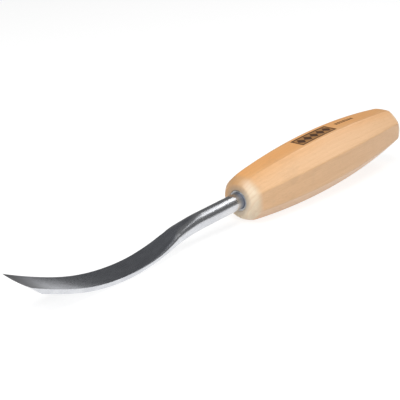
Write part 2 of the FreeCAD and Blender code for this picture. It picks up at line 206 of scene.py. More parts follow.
def handle_radius(along, off_facet):
    """Radius of the handle at an angle from the middle of the nearest facet."""
    flat = facet_height(along)
    half_facet = math.pi / FACETS
    centre = (flat - ARRIS_ROUNDING) / math.cos(half_facet)
    to_arris = half_facet - off_facet
    if flat * math.tan(off_facet) <= centre * math.sin(half_facet):
        radius = flat / math.cos(off_facet)
    else:
        side = centre * math.sin(to_arris)
        radius = centre * math.cos(to_arris) + math.sqrt(ARRIS_ROUNDING ** 2 - side ** 2)
    return soft_min(radius, turned_radius(along), TURNED_BLEND)


# The burnt mark on the top facet: a framed row of lozenges, then a row of short dashes.
MARK_START, MARK_END = 47.0, 76.0
MARK_HALF_WIDTH = 4.4
MARK_FRAME = 0.95          # width of the frame's line
MARK_GAP = 0.35            # between the frame and the lozenges
LOZENGES = 5
LOZENGE_SOFTNESS = 1.4     # eases the lozenges' slanted sides
SCORCH = 0.36              # how brown the ground between frame and lozenges is
DASHES_START, DASHES_END = 81.5, 97.5
DASHES_ACROSS = -1.2       # middle of the row of dashes, on the far half of the facet
DASH_COUNT = 7
DASH_SHARE = 0.34          # half a dash's length, as a share of the pitch
DASH_HALF_WIDTH = 1.1
MARK_DEPTH = 0.22
CHAR_EDGE = 0.3            # softness of the burnt edges

MARKED_FACET_POINTS = 56   # across the top facet
FACET_POINTS = 26          # across each of the others
END_RINGS = 26             # along each turned end
END_CROWDING = 1.6         # how much closer the rings stand towards the end faces
PLAIN_RINGS = 24           # between each end and the marks
MARKED_RINGS = 172


def row_place(along, start, end, count):
    """Distance from the middle of the nearest mark in an even row, and the row's pitch."""
    pitch = (end - start) / count
    nearest = min(count - 1, max(0, math.floor((along - start) / pitch)))
    return abs(along - start - (nearest + 0.5) * pitch), pitch


def burnt(along, across):
    """How deeply the mark is burnt at a place on the top facet, from 0 to 1."""
    half_length = (MARK_END - MARK_START) / 2
    inside = min(half_length - abs(along - MARK_START - half_length),
                 MARK_HALF_WIDTH - abs(across))
    frame_line = min(inside, MARK_FRAME - inside)
    margin = MARK_FRAME + MARK_GAP
    middle, pitch = row_place(along, MARK_START + margin, MARK_END - margin, LOZENGES)
    high = MARK_HALF_WIDTH - margin
    lozenge = (1 - middle / (pitch / 2) - abs(across) / high) * high / LOZENGE_SOFTNESS
    middle, pitch = row_place(along, DASHES_START, DASHES_END, DASH_COUNT)
    dash = min(DASH_SHARE * pitch - middle, DASH_HALF_WIDTH - abs(across - DASHES_ACROSS))
    deep = smooth_step(max(frame_line, lozenge, dash), -CHAR_EDGE / 2, CHAR_EDGE / 2)
    return max(deep, SCORCH * smooth_step(inside, -CHAR_EDGE / 2, CHAR_EDGE / 2))


def handle_angles():
    """Angles round the handle, as facet number and angle off the facet's middle, closer
    together at the arrises and across the marked top facet."""
    half_facet = math.pi / FACETS
    angles = []
    for facet in range(FACETS):
        count = MARKED_FACET_POINTS if facet == 0 else FACET_POINTS
        for i in range(count):
            share = 2 * i / count - 1
            crowded = 0.86 * share + 0.14 * math.sin(share * math.pi / 2)
            angles.append((facet, half_facet * crowded))
    return angles


def handle_stations():
    """Distances from the nose face, closer together in the turned ends and the marks."""
    nose_reach = NOSE_LENGTH * 1.3
    butt_reach = BUTT_LENGTH * 1.6
    nose = [nose_reach * (i / END_RINGS) ** END_CROWDING for i in range(1, END_RINGS + 1)]
    front = spread(nose[-1], MARK_START - 1, PLAIN_RINGS)[1:]
    marks = spread(MARK_START - 1, DASHES_END + 1, MARKED_RINGS)[1:]
    back = spread(DASHES_END + 1, HANDLE_LENGTH - butt_reach, PLAIN_RINGS)[1:]
    butt = [HANDLE_LENGTH - butt_reach * (1 - i / END_RINGS) ** END_CROWDING
            for i in range(1, END_RINGS)]
    return nose + front + marks + back + butt


def square_radius(side, angle):
    """Radius of a square section whose flats face up, down and to the sides."""
    return side / 2 / max(abs(math.cos(angle)), abs(math.sin(angle)))


def make_handle(material):
    """One closed skin of rings: the tang's hole, the ferrule's counterbore, the nose
    face, the faceted outside and the butt."""
    half_facet = math.pi / FACETS
    angles = handle_angles()
    around = len(angles)
    rings = []
    wear = []
    burn = []
    end_grain = []

    def add_ring(along, radius_at, grain=1, outside=False):
        ring = []
        for facet, off in angles:
            angle = facet * 2 * half_facet + off
            radius = radius_at(angle, off)
            char = 0.0
            if outside and facet == 0:
                char = burnt(along, radius * math.sin(angle))
                radius -= MARK_DEPTH * char
            ring.append((along, -radius * math.sin(angle), radius * math.cos(angle)))
            worn = smooth_step(abs(off), 0.7 * half_facet, half_facet) if outside else 0.0
            wear.append(worn)
            burn.append(char)
            end_grain.append(grain)
        rings.append(ring)

    tang_end = FERRULE_LENGTH + TANG_LENGTH
    add_ring(tang_end, lambda angle, off: square_radius(TANG_POINT, angle))
    add_ring(FERRULE_LENGTH, lambda angle, off: square_radius(TANG_ROOT, angle))
    # The counterbore and its mouth, then the flat ring of the nose face.
    for along, radius in ((FERRULE_LENGTH, FERRULE_OUTSIDE), (1.0, FERRULE_OUTSIDE),
                          (MOUTH_DEPTH, FERRULE_OUTSIDE),
                          (0.0, FERRULE_OUTSIDE + MOUTH_WIDTH),
                          (0.0, FERRULE_OUTSIDE + 0.5), (0.0, NOSE_FLAT - 2 * NOSE_LIP),
                          (0.0, NOSE_FLAT - NOSE_LIP)):
        add_ring(along, lambda angle, off, r=radius: r)
    for along in handle_stations():
        rounding = max(0.0, 1 - along / NOSE_LIP)
        inset = NOSE_LIP * (1 - math.sqrt(1 - rounding * rounding))
        ends = max(smooth_step(-along, -NOSE_LENGTH, -NOSE_LENGTH * 0.3),
                   smooth_step(along, HANDLE_LENGTH - BUTT_LENGTH, HANDLE_LENGTH))
        add_ring(along, lambda angle, off: handle_radius(along, abs(off)) - inset, ends, True)
    # The butt's flat disc is closed inwards.
    for share in (0.97, 0.8, 0.4):
        add_ring(HANDLE_LENGTH, lambda angle, off: BUTT_FLAT * share)

    points = [point for ring in rings for point in ring]
    faces = tube_faces(len(rings), around)
    for ring, centre in ((0, (tang_end, 0, 0)), (len(rings) - 1, (HANDLE_LENGTH, 0, 0))):
        points.append(centre)
        wear.append(0)
        burn.append(0)
        end_grain.append(1)
        for i in range(around):
            pair = (ring * around + i, ring * around + (i + 1) % around)
            if ring == 0:
                pair = pair[::-1]
            faces.append((*pair, len(points) - 1))
    piece = add_piece("gouge_handle", points, faces, material,
                      {"wear": wear, "burn": burn, "end_grain": end_grain})
    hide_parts("handle")
    return piece


# ---------------------------------------------------------------- ferrule

FERRULE_POINTS = 96        # round the tube


def make_ferrule(material):
    """A tube with a rounded front rim, lathe-turned as one closed band."""
    corner = spread(0, math.pi / 2, 6)
    outer = FERRULE_OUTSIDE - FERRULE_LIP
    inner = FERRULE_BORE + FERRULE_LIP
    profile = [(FERRULE_LIP * (1 - math.sin(a)), outer + FERRULE_LIP * math.cos(a))
               for a in corner]
    profile += [(FERRULE_LIP * (1 - math.cos(a)), inner - FERRULE_LIP * math.sin(a))
                for a in corner]
    profile += [(FERRULE_LENGTH, FERRULE_BORE), (FERRULE_LENGTH, FERRULE_OUTSIDE)]
    points = []
    for along, radius in profile:
        for i in range(FERRULE_POINTS):
            angle = 2 * math.pi * i / FERRULE_POINTS
            points.append((along, -radius * math.sin(angle), radius * math.cos(angle)))
    faces = tube_faces(len(profile), FERRULE_POINTS, closed=True)
    faces = [tuple(reversed(face)) for face in faces]
    piece = add_piece("gouge_ferrule", points, faces, material)
    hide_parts("ferrule")
    return piece


# ---------------------------------------------------------------- blade

FACE_POINTS = 26           # along the face and along the belly of each section
WALL_POINTS = 8            # up each side wall
ROUND_POINTS = 9           # round each corner
EDGE_SAMPLES = 160         # along the face's middle line, up to its run-out
RUNOUT_SAMPLES = 40        # along each arc of the run-out
SIDE_SAMPLES, CROWN_SAMPLES = 30, 60
TOP_SAMPLES, BELLY_SAMPLES = 61, 80


def centreline(along):
    """Place and heading of the blade's centreline, by distance from the straight shank:
    X, Z and the angle by which it heads down towards the edge."""
    if along < 0:
        return -SHANK_STRAIGHT - along, 0.0, 0.0
    neck = min(along, NECK_LENGTH) / NECK_RADIUS
    belly = min(max(along - NECK_LENGTH, 0), BELLY_LENGTH) / BELLY_RADIUS
    tip = max(along - NECK_LENGTH - BELLY_LENGTH, 0) / TIP_RADIUS
    down = neck
    x = -SHANK_STRAIGHT - NECK_RADIUS * math.sin(neck)
    z = -NECK_RADIUS * (1 - math.cos(neck))
    for turn, radius in ((belly, BELLY_RADIUS), (tip, TIP_RADIUS)):
        after = down - turn
        x -= radius * (math.sin(down) - math.sin(after))
        z += radius * (math.cos(down) - math.cos(after))
        down = after
    return x, z, down


def lifted(along, lift):
    """A point square to the centreline, in X and Z."""
    x, z, down = centreline(along)
    return x - lift * math.sin(down), z + lift * math.cos(down)


def face_line():
    """The middle line of the hollow face in X and Z, from the edge to beyond its run-out,
    which climbs along a hollow arc, a rounded arc and a straight."""
    start = NECK_LENGTH + RUNOUT_START * BELLY_LENGTH
    line = [lifted(along, FACE_LIFT)
            for along in spread(BLADE_LENGTH + PAST_EDGE, start, EDGE_SAMPLES)]
    x, z = line[-1]
    slope = centreline(start)[2]
    for radius, goal in ((RUNOUT_HOLLOW, math.radians(RUNOUT_STEEPEST)),
                         (-RUNOUT_CROWN, math.radians(RUNOUT_END))):
        for angle in spread(slope, goal, RUNOUT_SAMPLES)[1:]:
            line.append((x + radius * (math.sin(angle) - math.sin(slope)),
                         z + radius * (math.cos(slope) - math.cos(angle))))
        (x, z), slope = line[-1], goal
    line.append((x + RUNOUT_PAST * math.cos(slope), z + RUNOUT_PAST * math.sin(slope)))
    return line


FACE_LINE = face_line()


def height_over(along, line):
    """Height of a line above the centreline's place, measured square to it: the lowest
    if the line passes more than once, or FAR if it doesn't pass."""
    x, z, down = centreline(along)
    ahead = [((px - x) * math.cos(down) + (pz - z) * math.sin(down)) for px, pz in line]
    above = [((pz - z) * math.cos(down) - (px - x) * math.sin(down)) for px, pz in line]
    best = FAR
    for i in range(len(line) - 1):
        a, b = ahead[i], ahead[i + 1]
        if a <= 0 <= b or b <= 0 <= a:
            share = -a / (b - a) if b != a else 0.0
            best = min(best, blend(above[i], above[i + 1], share))
    return best


def bevel_line():
    """The middle line of the bevel in X and Z, from the edge back under the belly."""
    x, z = lifted(BLADE_LENGTH, FACE_LIFT)
    slope = centreline(BLADE_LENGTH)[2] - math.radians(BEVEL_ANGLE)
    return [(x + reach * math.cos(slope), z + reach * math.sin(slope))
            for reach in (-PAST_EDGE, BEVEL_DRAWN)]


BEVEL_LINE = bevel_line()
BEVEL_REACH = 25.0         # the bevel is looked for this far back from the edge


# The round shank becomes the flat blade between these two places.
FLATTEN_START = 0.15 * NECK_LENGTH
FLATTEN_END = NECK_LENGTH + 0.16 * BELLY_LENGTH


class Section:
    """The forging's outline square to the centreline: four arcs that make a circle in
    the shank and a flat blade with upright walls and a crowned belly beyond it."""

    def __init__(self, along):
        flat = smooth_step(along, FLATTEN_START, FLATTEN_END)
        share = max(0.0, (along - NECK_LENGTH) / (BELLY_LENGTH + TIP_LENGTH))
        wide = blend(NECK_HALF_WIDTH, EDGE_HALF_WIDTH, share ** FLARE_POWER)
        corner, rise = math.sqrt(0.5), 1 - math.sqrt(0.5)
        self.flat = flat
        self.side_rise = blend(SHANK_RADIUS * rise, SIDE_BULGE, flat)
        self.half = blend(SHANK_RADIUS, wide, flat) - self.side_rise
        self.top = blend(SHANK_RADIUS * corner, FORGING_TOP, flat)
        self.bottom = blend(SHANK_RADIUS * corner, WALL_DROP, flat)
        self.belly_rise = blend(SHANK_RADIUS * rise, BELLY_CROWN, flat)
        self.top_rise = blend(SHANK_RADIUS * rise, FORGING_CROWN, flat)

    @staticmethod
    def bow(place, half, rise):
        """Height of an arc over a chord from -half to half."""
        radius = (half * half + rise * rise) / (2 * rise)
        return math.sqrt(max(0.0, radius * radius - place * place)) - radius + rise

    def belly(self, across):
        return -self.bottom - self.bow(across, self.half, self.belly_rise)

    def crown(self, across):
        return self.top + self.bow(across, self.half, self.top_rise)

    def wall(self, up):
        """Half width of the forging at a height between its corners."""
        middle = (self.top - self.bottom) / 2
        return self.half + self.bow(up - middle, (self.top + self.bottom) / 2, self.side_rise)


def sweep(across):
    """Rise of the hollow face and of the bevel towards the sides."""
    return SWEEP_RADIUS - math.sqrt(SWEEP_RADIUS ** 2 - across * across)


def resampled(path, count):
    """Evenly spaced points along a path, both ends left out."""
    lengths = [0.0]
    for (x0, y0), (x1, y1) in zip(path, path[1:]):
        lengths.append(lengths[-1] + math.hypot(x1 - x0, y1 - y0))
    result = []
    place = 0
    for i in range(1, count + 1):
        goal = lengths[-1] * i / (count + 1)
        while lengths[place + 1] < goal:
            place += 1
        share = (goal - lengths[place]) / (lengths[place + 1] - lengths[place])
        (x0, y0), (x1, y1) = path[place], path[place + 1]
        result.append((blend(x0, x1, share), blend(y0, y1, share)))
    return result


def along_path(path, distance):
    """The point at a distance along a path, and the rest of the path after it."""
    for i, ((x0, y0), (x1, y1)) in enumerate(zip(path, path[1:])):
        length = math.hypot(x1 - x0, y1 - y0)
        if distance <= length:
            share = distance / length
            point = (blend(x0, x1, share), blend(y0, y1, share))
            return point, [point] + path[i + 1:]
        distance -= length
    return path[-1], path[-2:]


def path_length(path):
    """Length of a path of straight runs."""
    return sum(math.dist(a, b) for a, b in zip(path, path[1:]))


def trimmed(path, start, finish):
    """A path shortened at both ends."""
    _, path = along_path(path, start)
    _, path = along_path(path[::-1], finish)
    return path[::-1]


def corner_curve(start, corner, finish):
    """Points of a short curve that stands for a corner."""
    curve = []
    for u in spread(0, 1, ROUND_POINTS):
        a, b, c = (1 - u) ** 2, 2 * u * (1 - u), u * u
        curve.append((a * start[0] + b * corner[0] + c * finish[0],
                      a * start[1] + b * corner[1] + c * finish[1]))
    return curve


def rounded_loop(sides, counts, roundings):
    """Points round a closed loop of paths. Corner i, at the start of side i, is rounded
    by a short curve that begins and ends at its rounding's distance from the corner."""
    total = len(sides)
    lengths = [path_length(side) for side in sides]
    loop = []
    for i, side in enumerate(sides):
        before, after = roundings[i], roundings[(i + 1) % total]
        reach = min(before, 0.4 * lengths[i], 0.4 * lengths[i - 1])
        leave = min(after, 0.4 * lengths[i], 0.4 * lengths[(i + 1) % total])
        start, _ = along_path(sides[i - 1][::-1], reach)
        finish, _ = along_path(side, reach)
        loop += corner_curve(start, side[0], finish)
        loop += resampled(trimmed(side, reach, leave), counts[i])
    return loop


CREASE = 0.08              # rounding of the crisp edges of the ground face
BELLY_ROUNDING = 0.45      # rounding between the walls and the belly
RUNOUT_ROUNDING = 1.3      # softer, polished edges where the face runs out
FACE_BLEND = 0.05          # melting of the ground face into the forging
RUNOUT_BLEND = 0.6         # the same where the face ends on the round shank
SHOULDER_ROUNDING = 1.6    # hammered corners of the neck, where the face reaches its sides
RUNOUT_FADE_START = NECK_LENGTH * 0.7
RUNOUT_FADE_END = NECK_LENGTH + 0.55 * BELLY_LENGTH
TOP_GAP = 0.8              # half width kept for the face's strip on the round shank
GAP_LENGTH = 24.0          # stretch over which that strip narrows from the shank's own top
PAINTED_DARK_TIP_LENGTH = 15.0      # the hollow face is rougher and painted dark this far back from the edge: a painted dark reflection


def side_outline(section, low, rounding):
    """The right-hand outline of the forging, up its side and over its crown to the
    middle, with the corner between them rounded."""
    side = [(section.wall(up), up) for up in spread(low, section.top, SIDE_SAMPLES)]
    crown = [(across, section.crown(across))
             for across in spread(section.half, 0, CROWN_SAMPLES)]
    start, side = along_path(side[::-1], rounding)
    finish, crown = along_path(crown, rounding)
    corner = corner_curve(start, (section.half, section.top), finish)
    return side[::-1] + corner[1:-1] + crown


def face_crossing(outline, face_height):
    """Where an outline comes up through the ground face: the number of its first point
    above the face, and the half width of the face. None and 0 if it never does."""
    for i, (x1, y1) in enumerate(outline):
        if i > 0 and y1 > face_height + sweep(x1):
            x0, y0 = outline[i - 1]
            over0 = y0 - face_height - sweep(x0)
            over1 = y1 - face_height - sweep(x1)
            return i, blend(x0, x1, -over0 / (over1 - over0))
    return None, 0.0


def blade_section(along, section, face_height):
    """One section of the finished blade as points across and up, anticlockwise from the
    lower right corner, and the height of the bevel's middle line there."""
    bevel_height = -FAR
    if along > BLADE_LENGTH - BEVEL_REACH:
        bevel_height = height_over(along, BEVEL_LINE)
    bevel_height = min(bevel_height, face_height - EDGE_THICKNESS)

    # Where the face runs out, it melts into the round of the shank.
    runout = 1 - smooth_step(along, RUNOUT_FADE_START, RUNOUT_FADE_END)
    melt = blend(FACE_BLEND, RUNOUT_BLEND, runout)

    def over(across, up):
        return soft_min(up, face_height + sweep(across), melt)

    def under(across):
        return max(section.belly(across), bevel_height + sweep(across))

    low = max(-section.bottom, bevel_height + sweep(section.half))
    right = section.wall(low)
    outline = side_outline(section, low, SHOULDER_ROUNDING * runout * section.flat + 0.01)
    gap = blend(TOP_GAP, SHANK_RADIUS * math.sqrt(0.5), smooth_step(-along, 0, GAP_LENGTH))
    cut, edge = face_crossing(outline, face_height)
    if edge > gap:
        wall = outline[:cut]
    else:
        edge = gap
        wall = [point for point in outline if point[0] > gap]
    wall = [(across, over(across, up)) for across, up in wall]
    top = [(across, over(across, section.crown(min(abs(across), section.half))))
           for across in spread(edge, -edge, TOP_SAMPLES)]
    wall.append(top[0])
    bottom = [(across, under(across)) for across in spread(-right, right, BELLY_SAMPLES)]
    bottom[0], bottom[-1] = (-right, low), (right, low)
    left = [(-across, up) for across, up in reversed(wall)]
    # The face's edges soften as its strip grows wider than the gap.
    crease = blend(CREASE, RUNOUT_ROUNDING, runout * smooth_step(edge - gap, -0.5, 1.7))
    bevelled = smooth_step(bevel_height, -section.bottom - 1, -section.bottom)
    belly = blend(BELLY_ROUNDING, CREASE, bevelled)
    loop = rounded_loop([wall, top, left, bottom],
                        [WALL_POINTS, FACE_POINTS, WALL_POINTS, FACE_POINTS],
                        [belly, crease, crease, belly])
    return loop, bevel_height


def square_section(side):
    """A section of the tang, with as many points as one of the blade."""
    half = side / 2
    corners = [(half, -half), (half, half), (-half, half), (-half, -half)]
    sides = [[corners[i], corners[(i + 1) % 4]] for i in range(4)]
    return rounded_loop(sides, [WALL_POINTS, FACE_POINTS, WALL_POINTS, FACE_POINTS],
                        [TANG_ROUNDING] * 4)


def blade_stations():
    """Distances along the centreline, from the shoulder inside the handle to the edge,
    closest together where the face runs out and along the bevel."""
    stations = [-SHANK_STRAIGHT - FERRULE_LENGTH]
    for end, count in ((-14.0, 14), (NECK_LENGTH + 14.0, 150), (BLADE_LENGTH - 10.0, 66),
                       (BLADE_LENGTH - EDGE_THICKNESS, 56)):
        stations += spread(stations[-1], end, count)[1:]
    return stations


def end_cap(first, backward):
    """Quads that close a ring, in strips between its upper and its lower half."""
    size = 4 * ROUND_POINTS + 2 * WALL_POINTS + 2 * FACE_POINTS
    begin = ROUND_POINTS + WALL_POINTS // 2
    upper = [first + begin + i for i in range(size // 2)]
    lower = [first + (begin - 1 - i) % size for i in range(size // 2)]
    quads = [(upper[i], upper[i + 1], lower[i + 1], lower[i]) for i in range(size // 2 - 1)]
    return [tuple(reversed(quad)) for quad in quads] if backward else quads


def make_blade(material):
    """Tang, shoulder, shank, neck, belly and edge as one closed skin of sections."""
    points = []
    ground = []
    honed = []
    whetted = []
    for along, side in ((FERRULE_LENGTH + TANG_LENGTH, TANG_POINT), (FERRULE_LENGTH, TANG_ROOT)):
        for across, up in square_section(side):
            points.append((along, across, up))
            ground.append(0.0)
            honed.append(0.0)
            whetted.append(0.0)
    size = len(points) // 2
    # The points on top of a section, out to the middle of the corners beside them.
    top_start = ROUND_POINTS * 1.5 + WALL_POINTS
    top_end = ROUND_POINTS * 2.5 + WALL_POINTS + FACE_POINTS
    for along in blade_stations():
        section = Section(along)
        face_height = height_over(along, FACE_LINE)
        loop, bevel_height = blade_section(along, section, face_height)
        x, z, down = centreline(along)
        for i, (across, up) in enumerate(loop):
            points.append((x - up * math.sin(down), across, z + up * math.cos(down)))
            cut = -1.0
            if top_start <= i < top_end:
                cut = section.crown(across) - face_height - sweep(across)
            ground.append(smooth_step(cut, -0.05, 0.45))
            whetted.append(smooth_step(along, BLADE_LENGTH - PAINTED_DARK_TIP_LENGTH, BLADE_LENGTH))
            bared = -1.0
            if i >= size - FACE_POINTS or i < ROUND_POINTS:
                bared = bevel_height + sweep(across) - section.belly(across)
            honed.append(smooth_step(bared, -0.02, 0.04))
    rings = len(points) // size
    faces = [tuple(reversed(face)) for face in tube_faces(rings, size)]
    faces += end_cap(0, False) + end_cap((rings - 1) * size, True)
    piece = add_piece("gouge_blade", points, faces, material,
                      {"ground": ground, "honed": honed, "whetted": whetted})
    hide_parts("blade")
    return piece


# ---------------------------------------------------------------- materials

PITH_ACROSS, PITH_UP = 40.0, 31.0      # the tree's pith, far outside the handle, in mm
YEAR = 2.3                             # width of a growth ring, in mm


class Nodes:
    """A short way to write a node tree: most methods add a node and give its output."""

    def __init__(self, tree):
        self.tree = tree
        tree.nodes.clear()

    def add(self, kind, inputs=None, **settings):
        made = self.tree.nodes.new(kind)
        for name, value in settings.items():
            setattr(made, name, value)
        for name, value in (inputs or {}).items():
            self.feed(made.inputs[name], value)
        return made

    def feed(self, socket, value):
        """Link a node's output to a socket, or set the socket to a number or a colour."""
        if isinstance(value, bpy.types.NodeSocket):
            self.tree.links.new(value, socket)
        elif hasattr(socket.default_value, "__len__") and len(value) == 3:
            length = len(socket.default_value)
            socket.default_value = (*value, 1.0) if length == 4 else value
        else:
            socket.default_value = value

    def math(self, operation, a, b=0.0, clamp=False):
        return self.add("ShaderNodeMath", {0: a, 1: b}, operation=operation,
                        use_clamp=clamp).outputs[0]

    def mix(self, share, a, b):
        return self.add("ShaderNodeMix", {0: share, 6: a, 7: b},
                        data_type="RGBA").outputs[2]

    def step(self, value, start, finish, low=0.0, high=1.0):
        """A smooth step from low to high as the value goes from start to finish."""
        return self.add("ShaderNodeMapRange",
                        {"Value": value, "From Min": start, "From Max": finish,
                         "To Min": low, "To Max": high},
                        interpolation_type="SMOOTHSTEP").outputs["Result"]

    def noise(self, place, scale=1.0, detail=2.0, roughness=0.5):
        return self.add("ShaderNodeTexNoise",
                        {"Vector": place, "Scale": scale, "Detail": detail,
                         "Roughness": roughness}).outputs["Fac"]

    def stretched(self, place, scales, shift=(0, 0, 0)):
        return self.add("ShaderNodeMapping",
                        {"Vector": place, "Scale": scales, "Location": shift}).outputs["Vector"]

    def attribute(self, name):
        return self.add("ShaderNodeAttribute", attribute_name=name).outputs["Fac"]

    def bump(self, height, distance, strength=1.0, normal=None):
        inputs = {"Height": height, "Distance": distance, "Strength": strength}
        if normal is not None:
            inputs["Normal"] = normal
        return self.add("ShaderNodeBump", inputs).outputs["Normal"]

    def finish(self, inputs):
        shader = self.add("ShaderNodeBsdfPrincipled", inputs)
        output = self.add("ShaderNodeOutputMaterial")
        self.tree.links.new(shader.outputs["BSDF"], output.inputs["Surface"])
        return shader


def new_material(name):
    material = bpy.data.materials.new(name)
    material.use_nodes = True
    nodes = Nodes(material.node_tree)
    # Places are in millimetres in the tool's frame, like the sizes above.
    place = nodes.add("ShaderNodeTexCoord").outputs["Object"]
    place = nodes.add("ShaderNodeMapping",
                      {"Vector": place, "Location": TOOL_FRAME.translation,
                       "Rotation": TOOL_FRAME.to_euler(), "Scale": (MM,) * 3},
                      vector_type="TEXTURE").outputs["Vector"]
    return material, nodes, place


def wood_material():
    """Pale, fine-grained hardwood under a thin satin lacquer."""
    material, nodes, place = new_material("pale_hardwood")
    wear, burn = nodes.attribute("wear"), nodes.attribute("burn")
    end_grain = nodes.attribute("end_grain")

    # Growth rings about the pith, wavering along the grain.
    waver = nodes.noise(nodes.stretched(place, (0.012, 0.05, 0.05)), 1.0, 3.0)
    apart = nodes.add("ShaderNodeSeparateXYZ", {"Vector": place})
    y = nodes.math("SUBTRACT", apart.outputs["Y"], PITH_ACROSS)
    z = nodes.math("SUBTRACT", apart.outputs["Z"], PITH_UP)
    radius = nodes.math("SQRT", nodes.math("ADD", nodes.math("MULTIPLY", y, y),
                                           nodes.math("MULTIPLY", z, z)))
    radius = nodes.math("ADD", radius, nodes.math("MULTIPLY", waver, 9.0))
    year = nodes.math("FRACT", nodes.math("DIVIDE", radius, YEAR))
    late = nodes.math("MULTIPLY", nodes.step(year, 0.35, 0.93), nodes.step(year, 1.0, 0.93))

    fibre = nodes.noise(nodes.stretched(place, (0.035, 2.6, 2.6)), 1.0, 4.0, 0.6)
    fleck = nodes.noise(nodes.stretched(place, (0.45, 4.2, 4.2), (7, 3, 1)), 1.0, 1.0)
    fleck = nodes.step(fleck, 0.63, 0.72)
    tone = nodes.noise(nodes.stretched(place, (0.02, 0.09, 0.09), (3, 5, 9)), 1.0, 2.0)

    colour = nodes.mix(nodes.step(tone, 0.3, 0.7), (0.86, 0.42, 0.15), (0.87, 0.455, 0.178))
    # The side grain is paler towards the near side and the underside: partly a sapwood tone, partly
    # a painted sheen of the lacquer.
    sapwood_and_sheen = nodes.step(radius, 48.0, 61.0, 0.0, 0.9)
    colour = nodes.mix(sapwood_and_sheen, colour, (0.88, 0.56, 0.315))
    colour = nodes.mix(nodes.step(fibre, 0.35, 0.75, 0.0, 0.20), colour, (0.57, 0.32, 0.14))
    colour = nodes.mix(nodes.math("MULTIPLY", fleck, 0.16), colour, (0.45, 0.23, 0.09))
    # End grain is browner near the heart of the tree, towards the top, and cream further from it,
    # towards the near, lower side: partly the wood's own tone, partly a painted highlight.
    end_colour_and_highlight = nodes.mix(nodes.step(radius, 49.0, 60.0), (0.60, 0.37, 0.19), (0.87, 0.76, 0.58))
    colour = nodes.mix(nodes.math("MULTIPLY", end_grain, 0.75), colour, end_colour_and_highlight)
    ring_strength = nodes.step(end_grain, 0.6, 1.0, 0.09, 0.16)
    colour = nodes.mix(nodes.math("MULTIPLY", late, ring_strength), colour, (0.60, 0.29, 0.10))
    colour = nodes.mix(nodes.math("MULTIPLY", wear, 0.10), colour, (0.55, 0.33, 0.16))

    # The nose face is darker and greyer close round the ferrule.
    off_axis = nodes.add("ShaderNodeCombineXYZ", {"Y": apart.outputs["Y"], "Z": apart.outputs["Z"]})
    off_axis = nodes.add("ShaderNodeVectorMath", {0: off_axis.outputs["Vector"]},
                         operation="LENGTH").outputs["Value"]
    ferrule_darkening = nodes.math("MULTIPLY", nodes.step(off_axis, 8.8, 5.6),
                       nodes.step(apart.outputs["X"], 1.5, 0.3))
    colour = nodes.mix(nodes.math("MULTIPLY", ferrule_darkening, 0.5), colour, (0.38, 0.32, 0.25))

    # Handling leaves a faint, uneven film, more of it near the nose.
    smudge = nodes.noise(nodes.stretched(place, (0.09, 0.13, 0.13), (1, 8, 2)), 1.0, 4.0, 0.6)
    grip = nodes.step(apart.outputs["X"], 60.0, 0.0, 0.04, 0.13)
    colour = nodes.mix(nodes.math("MULTIPLY", nodes.step(smudge, 0.5, 0.72), grip),
                       colour, (0.30, 0.22, 0.15))

    # The mark is burnt brown at its soft edges and nearly black in the middle.
    char = nodes.noise(place, 1.4, 3.0)
    depth = nodes.math("MULTIPLY", burn, nodes.step(char, 0.2, 0.7, 0.75, 1.0))
    colour = nodes.mix(nodes.step(depth, 0.0, 0.45), colour, (0.27, 0.12, 0.03))
    colour = nodes.mix(nodes.step(depth, 0.35, 0.95), colour, (0.055, 0.018, 0.002))

    rough = nodes.step(fibre, 0.3, 0.8, 0.36, 0.46)
    rough = nodes.math("ADD", rough, nodes.math("MULTIPLY", smudge, 0.08))
    rough = nodes.math("ADD", rough, nodes.math("MULTIPLY", burn, 0.35))
    rough = nodes.math("SUBTRACT", rough, nodes.math("MULTIPLY", wear, 0.06), clamp=True)

    grain = nodes.math("ADD", nodes.math("MULTIPLY", fibre, 0.7),
                       nodes.math("MULTIPLY", late, 0.35))
    grain = nodes.math("SUBTRACT", grain, nodes.math("MULTIPLY", fleck, 0.3))
    normal = nodes.bump(grain, 0.035 * MM, 0.8)
    normal = nodes.bump(char, 0.12 * MM, burn, normal)
    nodes.finish({"Base Color": colour, "Roughness": rough, "Normal": normal,
                  "IOR": 1.5, "Coat Weight": 0.2, "Coat Roughness": 0.35})
    return material


